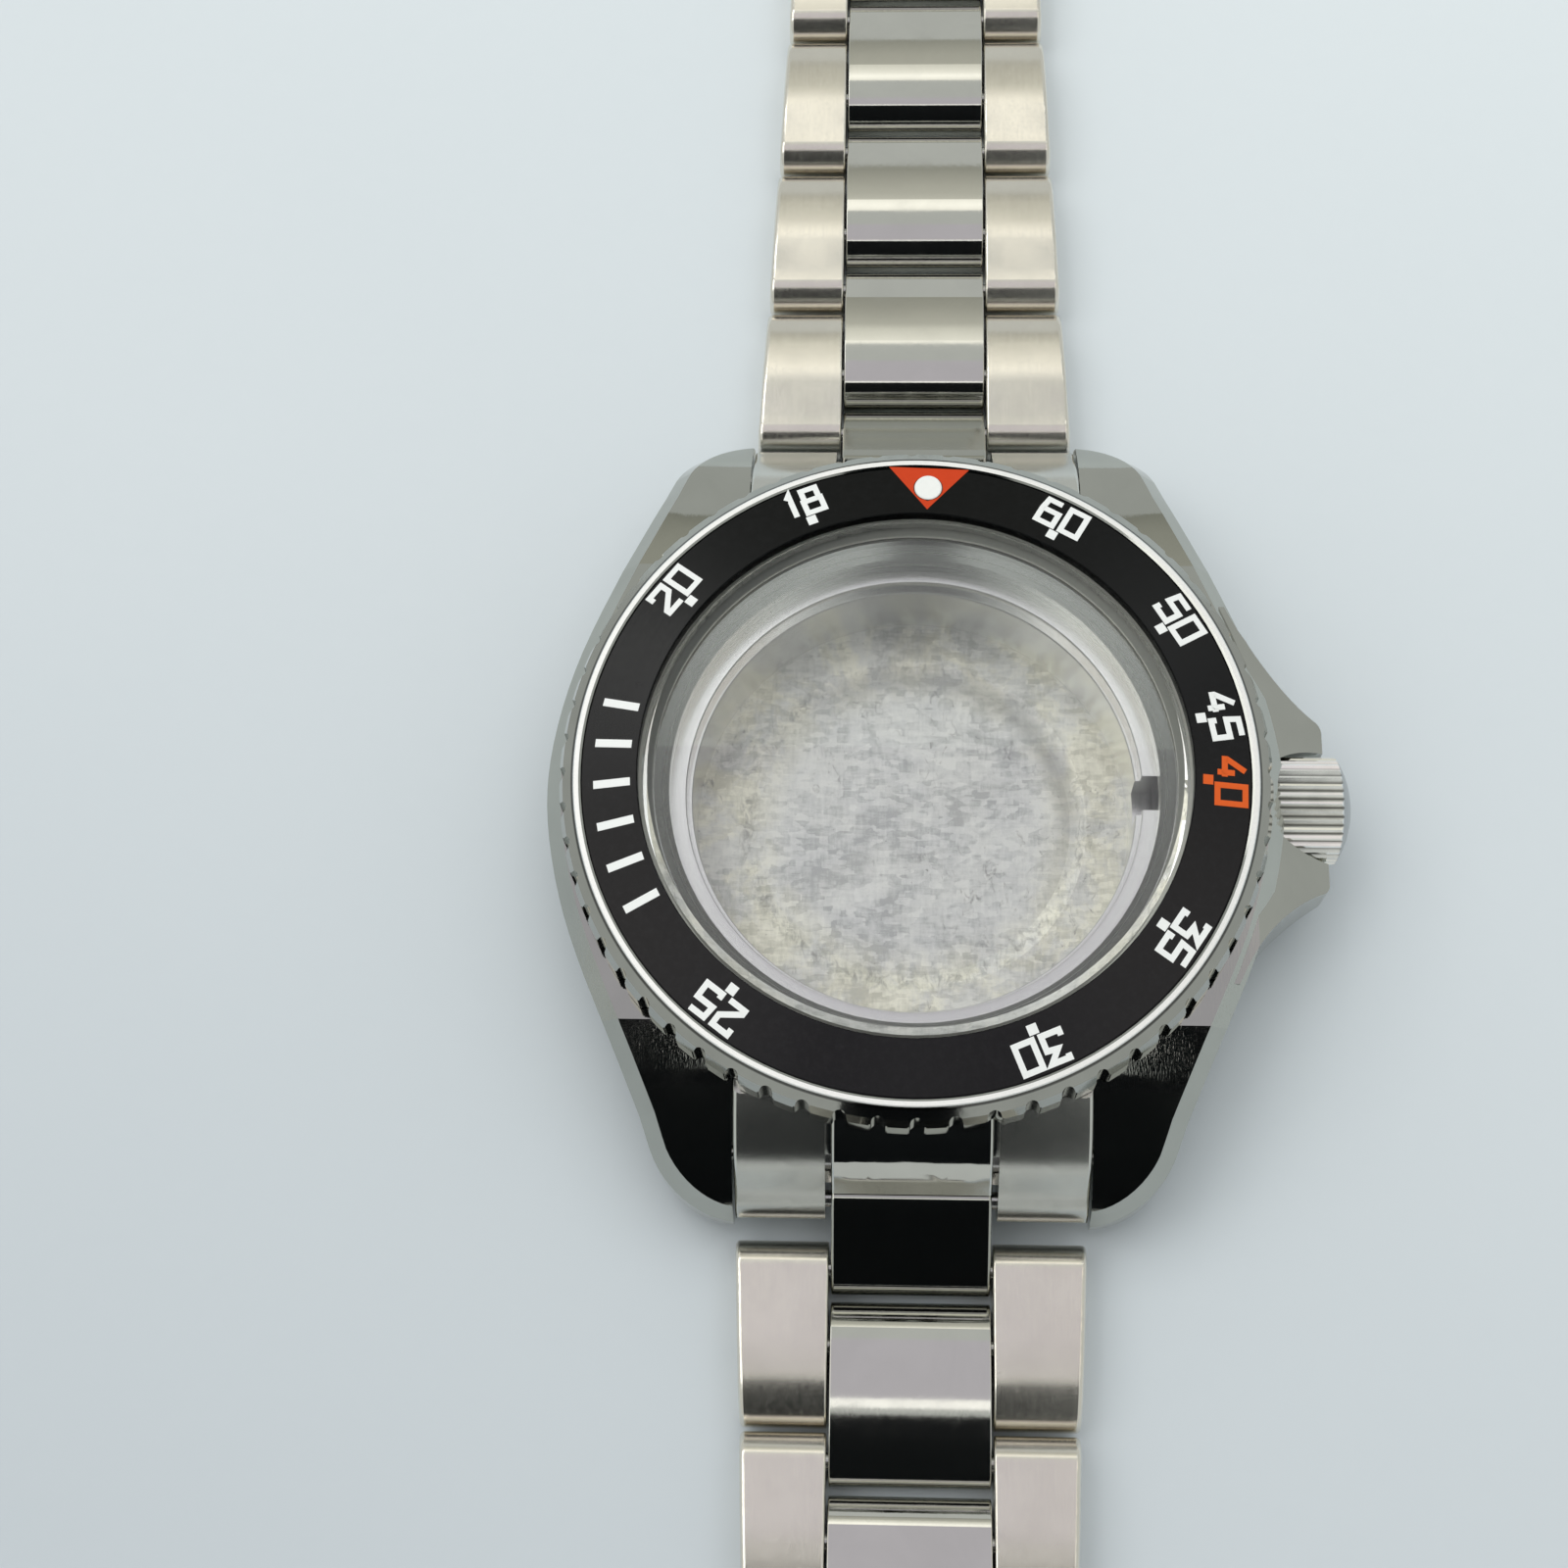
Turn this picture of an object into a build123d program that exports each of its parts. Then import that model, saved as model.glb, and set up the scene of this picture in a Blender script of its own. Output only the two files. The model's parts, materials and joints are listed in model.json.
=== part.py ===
from build123d import *
import math
import os

# Empty watch case of a diver's watch on its three-row bracelet, laid out open and flat.
# Frame: origin at the centre of the flat outer face of the case back, on the table.
# +X towards the crown (3 o'clock), +Y towards 12 o'clock, +Z up through the crystal.
# All lengths in millimetres, angles in degrees.

# ---- driving dimensions -------------------------------------------------
DECK_Z = 9.2            # flat deck of the mid case, under the bezel
CASE_LOW_Z = 2.2        # underside of the mid case
LUG_GAP = 20.1          # free width between a pair of lugs
LUG_TIP_Y = 24.4        # half of the lug to lug length
CROWN_Z = 5.3           # height of the crown axis
CROWN_R = 3.15          # over the ribs
CROWN_RIBS = 36
GUARD_X = 24.2          # tip of the crown guards

CRYSTAL_R, CRYSTAL_Z0, CRYSTAL_Z1 = 15.5, 10.2, 12.7
COLLAR_R, COLLAR_Z = 17.3, 11.2
REHAUT_R_TOP, REHAUT_R = 14.95, 14.15
MOVEMENT_R = 12.95      # bore that takes the movement
DIAL_SEAT_Z = 7.4

BEZEL_R = 20.35
BEZEL_Z0, BEZEL_EDGE_Z, BEZEL_BAND_Z, BEZEL_Z1 = 9.35, 10.95, 11.68, 12.22
BEZEL_NOTCHES = 60
BEZEL_SET = -2.4        # the bezel stands a little past 12 o'clock, clockwise
INSERT_R, INSERT_R_IN = 18.97, 15.72
INSERT_Z, INSERT_RISE = 12.2, 0.5   # outer edge, and how much higher the inner edge is

BAR_Y, BAR_Z = 20.9, 6.2            # spring bar between the lugs
H0_Y, H0_Z = 23.0, 3.9              # pivot of the first centre link in the end link
H1_Y, LINK_Z = 26.65, 1.55          # first pivot of the links, which lie on the table
PITCH = 10.6
LINK_R = 1.55
CENTRE_HALF = 4.5
SIDE_IN = 4.65
PAD_IN = 4.85             # inner side of the brushed pads of an end link
WIDTHS = [19.85, 18.85, 18.0, 17.15, 16.5, 16.2]   # across the side links at each pivot
LINKS_12, LINKS_6 = 5, 4
PIN_R = 0.5
RUN = 0.05                          # radial running clearance of a link pin

os.makedirs("parts", exist_ok=True)


def save(name, *solids):
    shape = solids[0] if len(solids) == 1 else Compound(children=list(solids))
    found = []
    for s in solids:
        found += list(s.solids())
    shape = found[0] if len(found) == 1 else Compound(children=found)
    export_step(shape, f"parts/{name}.step")


def turned(points):
    """Solid of revolution about Z from (radius, height) points."""
    return revolve(Plane.XZ * make_face(Polyline(*points, close=True)), Axis.Z, 360)


def ring(r_in, r_out, z0, z1):
    return turned([(r_in, z0), (r_out, z0), (r_out, z1), (r_in, z1)])


def along_x(face, x0, x1):
    """Extrudes a face drawn in (Y, Z) from x0 to x1."""
    return Pos(x0, 0, 0) * extrude(Plane.YZ * face, x1 - x0)


def rod_x(r, x0, x1, y, z):
    return Pos((x0 + x1) / 2, y, z) * Rot(0, 90, 0) * Cylinder(r, x1 - x0)


def block(x0, x1, y0, y1, z0, z1):
    return Pos((x0 + x1) / 2, (y0 + y1) / 2, (z0 + z1) / 2) * Box(x1 - x0, y1 - y0, z1 - z0)


def softened(part, edges, size, how=fillet):
    """Rounds or chamfers edges where the kernel can, by the largest size that works."""
    for k in (1.0, 0.7, 0.45):
        for way in (how, chamfer):
            try:
                done = way(edges, size * k)
                if done.is_valid and done.volume > 0:
                    return done
            except Exception:
                pass
    print("edge left sharp on a piece of volume", round(part.volume, 2))
    return part


# ---- mid case -----------------------------------------------------------
flank = [(21.4, 0), (20.95, 4.2), (20.0, 7.9), (18.75, 11.2), (17.35, 14.4),
         (16.05, 17.4), (14.95, 20.0)]
right = [(x, y) for x, y in reversed(flank)] + [(x, -y) for x, y in flank[1:]]
left = [(-x, -y) for x, y in right]


def corner(sx, sy):
    """End of a lug, from its flank round to its inner face."""
    return [(sx * 14.95, sy * 20.0), (sx * 14.0, sy * 22.2), (sx * 12.45, sy * 23.6), (sx * 10.0, sy * LUG_TIP_Y)]


edges = [
    Spline(*right),
    Spline(*corner(1, -1)),
    Line((10.0, -LUG_TIP_Y), (-10.0, -LUG_TIP_Y)),
    Spline(*reversed(corner(-1, -1))),
    Spline(*left),
    Spline(*corner(-1, 1)),
    Line((-10.0, LUG_TIP_Y), (10.0, LUG_TIP_Y)),
    Spline(*reversed(corner(1, 1))),
]
outline = make_face(edges)
between = (Rectangle(LUG_GAP, 2 * 30) - Circle(19.5))
plan = outline - between
body = Pos(0, 0, 0) * extrude(plan, 13)

# side view: the deck is flat, the lugs fall away from it in one long curve to their tips
top = [(14.0, DECK_Z), (16.5, 8.78), (19.0, 8.22), (21.0, 7.42), (22.8, 6.2), (24.7, 4.3)]
side = make_face([
    Line((-14.0, DECK_Z), (14.0, DECK_Z)),
    Spline(*top, tangents=[(1, -0.16), (0.7, -0.8)]),
    Line((24.7, 4.3), (24.7, 3.4)),
    ThreePointArc((24.7, 3.4), (24.1, 2.5), (23.0, CASE_LOW_Z)),
    Line((23.0, CASE_LOW_Z), (-23.0, CASE_LOW_Z)),
    ThreePointArc((-23.0, CASE_LOW_Z), (-24.1, 2.5), (-24.7, 3.4)),
    Line((-24.7, 3.4), (-24.7, 4.3)),
    Spline(*[(-y, z) for y, z in reversed(top)], tangents=[(0.7, 0.8), (1, 0.16)]),
])
case = body & along_x(side, -30, 30)
# bevel along the outer top edge of the flanks and lugs, and a smaller one below
rim = [e for e in case.edges()
       if e.center().Z > 4.6 and abs(e.center().X) > 10.4 and e.length > 2.0]
case = softened(case, rim, 0.9, chamfer)
low = [e for e in case.edges()
       if abs(e.center().Z - CASE_LOW_Z) < 0.05 and abs(e.center().X) > 14 and e.length > 5]
case = softened(case, low, 0.4, chamfer)
# round seat under the bezel, which stands above the falling lugs
case = case + (body & (Pos(0, 0, (CASE_LOW_Z + DECK_Z) / 2) * Cylinder(19.5, DECK_Z - CASE_LOW_Z)))

# crown guards, which slope down to their tips
guard = make_face([
    Line((17.0, 11.5), (18.3, 11.5)),
    Spline((18.3, 11.5), (19.9, 8.7), (21.9, 6.6), (23.75, 5.35), tangents=[(0.45, -1), (1, -0.5)]),
    ThreePointArc((23.75, 5.35), (24.1, 5.05), (GUARD_X, 4.6)),
    Line((GUARD_X, 4.6), (GUARD_X, -4.6)),
    ThreePointArc((GUARD_X, -4.6), (24.1, -5.05), (23.75, -5.35)),
    Spline((23.75, -5.35), (21.9, -6.6), (19.9, -8.7), (18.3, -11.5), tangents=[(-1, -0.5), (-0.45, -1)]),
    Line((18.3, -11.5), (17.0, -11.5)),
    Line((17.0, -11.5), (17.0, 11.5)),
])
guard_side = make_face(Polyline((16.0, CASE_LOW_Z), (21.6, CASE_LOW_Z), (23.2, 2.8), (25.0, 4.2), (25.0, 5.0),
                                (24.2, 5.75), (20.5, 8.35), (19.5, 8.9), (16.0, 8.9), close=True))
guards = extrude(guard, 13) & (Pos(0, 15, 0) * extrude(Plane.XZ * guard_side, 30))
case = case + guards
case = case - (Pos(0, 0, 0) * ring(19.45, 19.5, 0, 0.01))

# collar that carries the crystal and guides the bezel
case = case + ring(15.2, COLLAR_R, DECK_Z - 1.5, COLLAR_Z)
case = case - Cylinder(15.0, 60)
case = case - ring(1.0, 16.0, 9.95, 14.0)             # seat of the crystal and its gasket
case = case - ring(1.0, 15.6, -1.0, 9.65)             # bore for the rehaut and the movement ring
case = case - ring(1.0, 16.4, -1.0, 3.6)              # threaded mouth of the case back
case = case - ring(16.5, 17.1, 2.0, 2.65)             # groove of the case back gasket
case = case - ring(17.08, 17.6, 10.12, 10.68)         # groove of the retaining wire
# pocket of the crown, bore of its tube
case = case - rod_x(3.45, 20.7, 30, 0, CROWN_Z)
case = case - rod_x(1.5, 14.0, 21.5, 0, CROWN_Z)
# holes of the spring bars in the lugs
for sy in (1, -1):
    case = case - rod_x(0.45, -11.5, 11.5, sy * BAR_Y, BAR_Z)
save("mid_case", case)

# ---- case back and its gasket ------------------------------------------
back = turned([(0, 0), (13.6, 0), (17.3, 1.15), (17.6, 1.4), (17.6, 2.2), (16.35, 2.2), (16.35, 3.5),
               (15.7, 3.5), (15.7, 1.6), (10.5, 1.6), (9.5, 1.5), (0, 1.5)])
for k in range(6):                                    # slots for the opening key
    back = back - (Rot(0, 0, 60 * k + 30) * block(14.6, 18.0, -1.1, 1.1, -1.0, 0.95))
save("case_back", back)
save("case_back_gasket", ring(16.5, 17.1, 2.2, 2.65))

# ---- what sits inside ---------------------------------------------------
rehaut = turned([(REHAUT_R, DIAL_SEAT_Z), (15.6, DIAL_SEAT_Z), (15.6, 9.65), (REHAUT_R_TOP, 9.65), (REHAUT_R, 8.75)])
save("rehaut_ring", rehaut)

holder = turned([(MOVEMENT_R, 1.6), (15.55, 1.6), (15.55, DIAL_SEAT_Z), (13.3, DIAL_SEAT_Z), (13.25, 7.3),
                 (13.25, 6.5), (MOVEMENT_R + 0.05, 6.5), (MOVEMENT_R, 6.4)])
holder = holder - block(12.0, 16.5, -1.05, 1.05, CROWN_Z - 1.05, 9.0)   # slot for the stem
save("movement_ring", holder)

save("crystal", turned([(0, CRYSTAL_Z0), (CRYSTAL_R, CRYSTAL_Z0), (CRYSTAL_R, CRYSTAL_Z1 - 0.35),
                        (CRYSTAL_R - 0.35, CRYSTAL_Z1), (0, CRYSTAL_Z1)]))
save("crystal_gasket", turned([(15.0, 9.95), (16.0, 9.95), (16.0, 11.25), (CRYSTAL_R, 11.25),
                               (CRYSTAL_R, CRYSTAL_Z0), (15.0, CRYSTAL_Z0)]))

# ---- turning bezel ------------------------------------------------------


def insert_top(r):
    return INSERT_Z + INSERT_RISE * (INSERT_R - r) / (INSERT_R - INSERT_R_IN)


bezel = turned([
    (17.4, BEZEL_Z0), (17.85, BEZEL_Z0), (17.85, 9.95), (19.35, 9.95), (19.35, BEZEL_Z0), (BEZEL_R, BEZEL_Z0),
    (BEZEL_R, BEZEL_EDGE_Z), (20.08, BEZEL_BAND_Z), (19.52, 12.08), (19.38, BEZEL_Z1), (19.12, BEZEL_Z1),
    (19.0, 12.16), (19.0, insert_top(19.0) - 0.8), (15.95, insert_top(15.95) - 0.8), (15.95, 11.3), (17.4, 11.3),
    (17.4, 10.75), (17.75, 10.75), (17.75, 10.05), (17.4, 10.05),
])
tool = None
for k in range(BEZEL_NOTCHES):
    # U-shaped notch: a straight run outwards from a round floor
    one = Pos(19.93 + 0.42, 0, 10.0) * Cylinder(0.42, 8) + block(20.3, 21.5, -0.5, 0.5, 6.0, 14.0)
    one = Rot(0, 0, 6 * k + 3 + BEZEL_SET) * one
    tool = one if tool is None else tool + one
bezel = bezel - tool
clicks = None
for k in range(BEZEL_NOTCHES):
    one = Rot(0, 0, 6 * k + BEZEL_SET) * block(18.0, 19.2, -0.35, 0.35, 9.8, 10.12)
    clicks = one if clicks is None else clicks + one
bezel = bezel - clicks
save("bezel_ring", bezel)

insert = turned([
    (INSERT_R_IN, insert_top(INSERT_R_IN) - 0.8), (INSERT_R, insert_top(INSERT_R) - 0.8),
    (INSERT_R, INSERT_Z - 0.08), (INSERT_R - 0.08, INSERT_Z), (INSERT_R_IN + 0.06, insert_top(INSERT_R_IN)),
    (INSERT_R_IN, insert_top(INSERT_R_IN) - 0.08),
])
pip_at = Rot(0, 0, BEZEL_SET) * Pos(0, 17.5, 0)
insert = insert - (pip_at * Pos(0, 0, 12.4) * Cylinder(0.82, 3))
save("bezel_insert", insert)
pip = Pos(0, 0, (11.76 + 12.5) / 2) * Cylinder(0.82, 12.5 - 11.76)
pip = softened(pip, pip.edges().sort_by(Axis.Z)[-1:], 0.12)
save("bezel_pip", pip_at * pip)

# flat click spring on the deck, and the wire that keeps the bezel on
click = ring(18.3, 18.95, DECK_Z, 9.45) - (Rot(0, 0, 200) * block(10, 22, -2.2, 2.2, 8, 11))
click = click + (Rot(0, 0, 207.5) * block(18.35, 18.9, -0.3, 0.3, 9.4, 9.72))
save("bezel_click_spring", click)
wire = revolve(Plane.XZ * (Pos(17.33, 10.4) * Circle(0.24)), Axis.Z, 340)
save("bezel_retaining_wire", Rot(0, 0, 100) * wire)

# ---- crown --------------------------------------------------------------
tube = rod_x(1.5, 15.7, 20.75, 0, CROWN_Z) + rod_x(1.85, 20.7, 22.7, 0, CROWN_Z)
tube = tube - rod_x(0.95, 15, 23, 0, CROWN_Z)
save("crown_tube", tube)

dome_r = ((CROWN_R - 0.28) ** 2 + 0.75 ** 2) / 1.5    # domed cap, centred on the crown axis
crown_face = make_face([
    Line((20.95, 1.95), (20.95, CROWN_R - 0.2)),
    Line((20.95, CROWN_R - 0.2), (21.15, CROWN_R)),
    Line((21.15, CROWN_R), (24.7, CROWN_R)),
    Line((24.7, CROWN_R), (24.9, CROWN_R - 0.28)),
    ThreePointArc((24.9, CROWN_R - 0.28), (25.65 - dome_r + math.sqrt(dome_r ** 2 - 1.6 ** 2), 1.6), (25.65, 0)),
    Line((25.65, 0), (24.5, 0)),
    Line((24.5, 0), (24.5, 1.45)),
    Line((24.5, 1.45), (22.9, 1.45)),
    Line((22.9, 1.45), (22.9, 1.95)),
    Line((22.9, 1.95), (20.95, 1.95)),
])
# drawn with the axis along X, in the plane of X and Z
crown = revolve(Plane.XZ * crown_face, Axis.X, 360)
ribs = Circle(4.2)
for k in range(CROWN_RIBS):
    ribs = ribs - (Rot(0, 0, 360 / CROWN_RIBS * k + 5) * Pos(CROWN_R + 0.02, 0) * Rot(0, 0, 45) * Rectangle(0.34, 0.34))
crown = crown & along_x(ribs, 20.0, 27.0)
save("crown", Pos(0, 0, CROWN_Z) * crown)
save("crown_gasket", rod_x(1.9, 22.73, 22.9, 0, CROWN_Z) - rod_x(1.05, 22, 24, 0, CROWN_Z))
core = rod_x(0.85, 17.0, 23.05, 0, CROWN_Z) + rod_x(1.35, 23.0, 23.4, 0, CROWN_Z)
core = core - rod_x(0.42, 16.0, 20.5, 0, CROWN_Z)
save("crown_core", core)
turns = None
for k in range(4):                                    # closed turns stand for the coil
    t = Pos(23.56 + 0.26 * k, 0, CROWN_Z) * Rot(0, 90, 0) * Torus(1.0, 0.13)
    turns = t if turns is None else turns + t
spring = turns + rod_x(1.06, 23.5, 24.4, 0, CROWN_Z) - rod_x(0.94, 23, 25, 0, CROWN_Z)
save("crown_spring", spring)

# ---- end links ----------------------------------------------------------
end_top = [(16.5, 9.5), (18.6, 9.02), (20.4, 8.2), (21.9, 6.9), (23.2, 5.35), (24.15, 3.9)]


def end_profile(drop=0.0):
    pts = [(y - drop * (0.0 if y < 20.5 else min(1.0, (y - 20.3) / 3.0)), z - drop) for y, z in end_top]
    return make_face([
        Line((15.0, pts[0][1]), pts[0]),
        Spline(*pts, tangents=[(1, -0.16), (0.25, -1)]),
        ThreePointArc(pts[-1], (pts[-1][0] - 0.35, 2.75), (23.4 - drop, 2.35)),
        Line((23.4 - drop, 2.35), (15.0, 2.35)),
        Line((15.0, 2.35), (15.0, pts[0][1])),
    ])


# slot of the first centre link, under a lip
slot = make_face([
    Line((21.35, 1.0), (21.35, H0_Z)),
    ThreePointArc((21.35, H0_Z), (H0_Y - 1.65 * math.cos(math.pi / 4), H0_Z + 1.65 * math.sin(math.pi / 4)), (H0_Y, H0_Z + 1.65)),
    Line((H0_Y, H0_Z + 1.65), (23.95, 5.62)),
    Line((23.95, 5.62), (26.5, 7.4)),
    Line((26.5, 7.4), (26.5, 1.0)),
    Line((26.5, 1.0), (21.35, 1.0)),
])
# polished middle, set off by a groove from the brushed pads on either side
mid = along_x(end_profile() - slot, -CENTRE_HALF, CENTRE_HALF)
mid = softened(mid, [e for e in mid.edges() if abs(abs(e.center().X) - CENTRE_HALF) < 0.01 and e.center().Z > 6.2], 0.16)
end = mid
for sx in (1, -1):
    pad = along_x(end_profile(), PAD_IN, 9.95) if sx > 0 else along_x(end_profile(), -9.95, -PAD_IN)
    pad = softened(pad, [e for e in pad.edges() if abs(abs(e.center().X) - 9.95) < 0.01 and e.center().Y > 15.5 and e.center().Z > 3.95], 0.18)
    floor = end_profile(0.45) - slot
    groove = along_x(floor, CENTRE_HALF, PAD_IN) if sx > 0 else along_x(floor, -PAD_IN, -CENTRE_HALF)
    end = end + groove + pad
end = end - Cylinder(19.6, 60) - (Pos(0, 0, 9.15 + 10) * Cylinder(20.55, 20))
end = end - rod_x(0.95, -12, 12, BAR_Y, BAR_Z)
end = end - rod_x(PIN_R, -7.5, 7.5, H0_Y, H0_Z)
save("end_link_12", end)
save("end_link_6", mirror(end, about=Plane.XZ))
h0_pin = rod_x(PIN_R, -7.5, 7.5, H0_Y, H0_Z)
save("end_link_pins", h0_pin, mirror(h0_pin, about=Plane.XZ))

bar = rod_x(0.9, -9.6, 9.6, BAR_Y, BAR_Z) + rod_x(0.4, -11.3, 11.3, BAR_Y, BAR_Z) + rod_x(0.7, -9.85, 9.85, BAR_Y, BAR_Z)
save("lug_spring_bars", bar, mirror(bar, about=Plane.XZ))

# ---- first centre link, which slopes from the end link to the table -----
slope = math.atan2(H0_Z - LINK_Z, H1_Y - H0_Y)
first = make_face(Polyline(
    (H0_Y + 1.45 * math.sin(slope), H0_Z + 1.45 * math.cos(slope)),
    (H1_Y + 1.45 * math.sin(slope), LINK_Z + 1.45 * math.cos(slope)),
    (H1_Y - 1.45 * math.sin(slope), LINK_Z - 1.45 * math.cos(slope)),
    (H0_Y - 1.45 * math.sin(slope), H0_Z - 1.45 * math.cos(slope)), close=True))
first = first + Pos(H0_Y, H0_Z) * Circle(1.45) + Pos(H1_Y, LINK_Z) * Circle(1.45)
tongue = along_x(first, -CENTRE_HALF, CENTRE_HALF)
tongue = softened(tongue, [e for e in tongue.edges() if abs(abs(e.center().X) - CENTRE_HALF) < 0.01], 0.15)
tongue = tongue - rod_x(PIN_R + RUN, -6, 6, H0_Y, H0_Z) - rod_x(PIN_R + RUN, -6, 6, H1_Y, LINK_Z)
save("first_centre_link_12", tongue)
save("first_centre_link_6", mirror(tongue, about=Plane.XZ))

# ---- links --------------------------------------------------------------
PLATE_END = PITCH - LINK_R - 0.22
TIE_Y = 4.3


def plate_face():
    return make_face([
        ThreePointArc((0, 0), (-LINK_R, LINK_R), (0, 2 * LINK_R)),
        Spline((0, 2 * LINK_R), (3.0, 3.27), (5.8, 3.19), (7.6, 2.84), (8.52, 2.15), (PLATE_END, 1.3), (8.45, 0.3), (7.9, 0),
               tangents=[(1, 0), (-1, 0)]),
        Line((7.9, 0), (0, 0)),
    ])


def centre_face():
    """Long arched top made of arcs that run into one another, over a flat underside."""
    point, heading, lines = (1.8, 1.1), (0, 1), []
    for target in ((3.4, 3.02), (6.0, 3.24), (9.4, 2.93), (11.3, 2.3), (11.97, 1.3)):
        arc = TangentArc(point, target, tangent=heading)
        end = arc % 1
        point, heading = target, (end.X, end.Y)
        lines.append(arc)
    return make_face(lines + [Line((11.97, 1.3), (11.6, 0.08)), Line((11.6, 0.08), (2.2, 0.08)), Line((2.2, 0.08), (1.8, 1.1))])


def make_link(n, far_r):
    """Side links, centre link and pins of link n on the 12 o'clock side; far_r is the bore of its far pivot."""
    y = H1_Y + PITCH * (n - 1)
    w0, w1 = WIDTHS[n - 1] / 2, WIDTHS[n] / 2
    slab = along_x(plate_face(), SIDE_IN, 10.5)
    edge = (w1 - w0) / PITCH
    trapeze = make_face(Polyline((SIDE_IN, -3), (w0 - 3 * edge, -3), (w0 + 12 * edge, 12), (SIDE_IN, 12), close=True))
    plate = slab & extrude(trapeze, 6)
    outer = [e for e in plate.faces().sort_by(Axis.X)[-1].edges()]
    plate = softened(plate, outer, 0.28)
    inner = [e for e in plate.faces().sort_by(Axis.X)[0].edges() if e.center().Z > 1.7]
    plate = softened(plate, inner, 0.12)
    for py in (0, TIE_Y):
        plate = plate - rod_x(PIN_R, 0, 12, py, LINK_Z)
    plate = Pos(0, y, 0) * plate
    centre = along_x(centre_face(), -CENTRE_HALF, CENTRE_HALF)
    arched = [e for e in centre.edges().filter_by(GeomType.CIRCLE) if abs(abs(e.center().X) - CENTRE_HALF) < 0.01]
    centre = softened(centre, arched, 0.14)
    centre = centre - rod_x(PIN_R, -6, 6, TIE_Y, LINK_Z) - rod_x(far_r, -6, 6, PITCH, LINK_Z)
    centre = Pos(0, y, 0) * centre
    pins = [rod_x(PIN_R, -(w0 + edge * py) + 0.3, w0 + edge * py - 0.3, y + py, LINK_Z) for py in (0, TIE_Y)]
    return [plate, mirror(plate, about=Plane.YZ)], [centre], pins


for n in range(1, LINKS_12 + 1):
    sides, centre, pins = make_link(n, 0.8 if n == LINKS_12 else PIN_R + RUN)
    save(f"link_12_{n}_sides", *sides)
    save(f"link_12_{n}_centre", *centre)
    save(f"link_12_{n}_pins", *pins)
for n in range(1, LINKS_6 + 1):
    sides, centre, pins = make_link(n, PIN_R + RUN)
    save(f"link_6_{n}_sides", *[mirror(s, about=Plane.XZ) for s in sides])
    save(f"link_6_{n}_centre", *[mirror(s, about=Plane.XZ) for s in centre])
    save(f"link_6_{n}_pins", *[mirror(s, about=Plane.XZ) for s in pins])

# ---- folding clasp at the 6 o'clock end, closed --------------------------
# drawn on the +Y side with u = 0 at its pivot on the last link, then mirrored
U0 = H1_Y + PITCH * LINKS_6
P1_U, P1_Z = 4.6, 2.15      # cover to outer blade
P2_U, P2_Z = 30.0, 1.0      # outer blade to inner blade
LOCK_U, LOCK_Z = 9.0, 6.0   # flip lock on the cover
COVER_HALF, COVER_U0, COVER_U1 = 8.6, 1.95, 39.0


def put(part):
    return mirror(Pos(0, U0, 0) * part, about=Plane.XZ)


# inner blade: two ears on the last link, a strip back to the middle pivot
ear = Pos(0, LINK_Z) * Circle(LINK_R) + make_face(Polyline((0, 0.0), (3.5, 0.35), (3.5, 1.35), (1.3, 2.4), (0, 3.0), close=True))
blade = along_x(ear, SIDE_IN, 7.6) + along_x(ear, -7.6, -SIDE_IN)
blade = blade + block(-7.6, 7.6, 1.85, 3.5, 0.35, 1.35)
blade = blade + block(-3.4, 3.4, 3.0, P2_U, 0.45, 1.35)
blade = blade + rod_x(1.0, -3.4, 3.4, P2_U, P2_Z)
blade = blade - rod_x(PIN_R, -12, 12, 0, LINK_Z) - rod_x(0.45, -12, 12, P2_U, P2_Z)
blade = blade - block(-1.6, 1.6, 8.0, 24.0, 0, 2)
save("clasp_inner_blade", put(blade))
save("clasp_inner_pins", put(rod_x(PIN_R, -7.4, 7.4, 0, LINK_Z)), put(rod_x(0.45, -6.2, 6.2, P2_U, P2_Z)))

# outer blade: a frame round the strip, with a bridge over it, carried up to the cover's pivot
rail = make_face(Polyline((4.7, 0.35), (P2_U, 0.35), (P2_U, 1.45), (6.6, 1.45), (P1_U, P1_Z), (4.3, 1.4), close=True))
frame = along_x(rail, 3.9, 6.4) + along_x(rail, -6.4, -3.9)
frame = frame + rod_x(1.0, 3.6, 6.4, P2_U, P2_Z) + rod_x(1.0, -6.4, -3.6, P2_U, P2_Z)
frame = frame + rod_x(0.95, 3.9, 6.4, P1_U, P1_Z) + rod_x(0.95, -6.4, -3.9, P1_U, P1_Z)
frame = frame + block(-6.4, 6.4, 13.0, 17.0, 1.75, 2.35) + block(3.9, 6.4, 13.0, 17.0, 1.0, 2.0) + block(-6.4, -3.9, 13.0, 17.0, 1.0, 2.0)
frame = frame - rod_x(0.5, -12, 12, P2_U, P2_Z) - rod_x(0.55, -12, 12, P1_U, P1_Z)
save("clasp_outer_blade", put(frame))

# cover: a shallow channel with a crowned top
arch = make_face([
    Line((-COVER_HALF, 0.75), (-COVER_HALF, 4.35)),
    ThreePointArc((-COVER_HALF, 4.35), (-8.25, 4.95), (-7.6, 5.2)),
    ThreePointArc((-7.6, 5.2), (0, 5.55), (7.6, 5.2)),
    ThreePointArc((7.6, 5.2), (8.25, 4.95), (COVER_HALF, 4.35)),
    Line((COVER_HALF, 4.35), (COVER_HALF, 0.75)),
    Line((COVER_HALF, 0.75), (7.85, 0.75)),
    Line((7.85, 0.75), (7.85, 4.5)),
    Line((7.85, 4.5), (-7.85, 4.5)),
    Line((-7.85, 4.5), (-7.85, 0.75)),
    Line((-7.85, 0.75), (-COVER_HALF, 0.75)),
])
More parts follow.
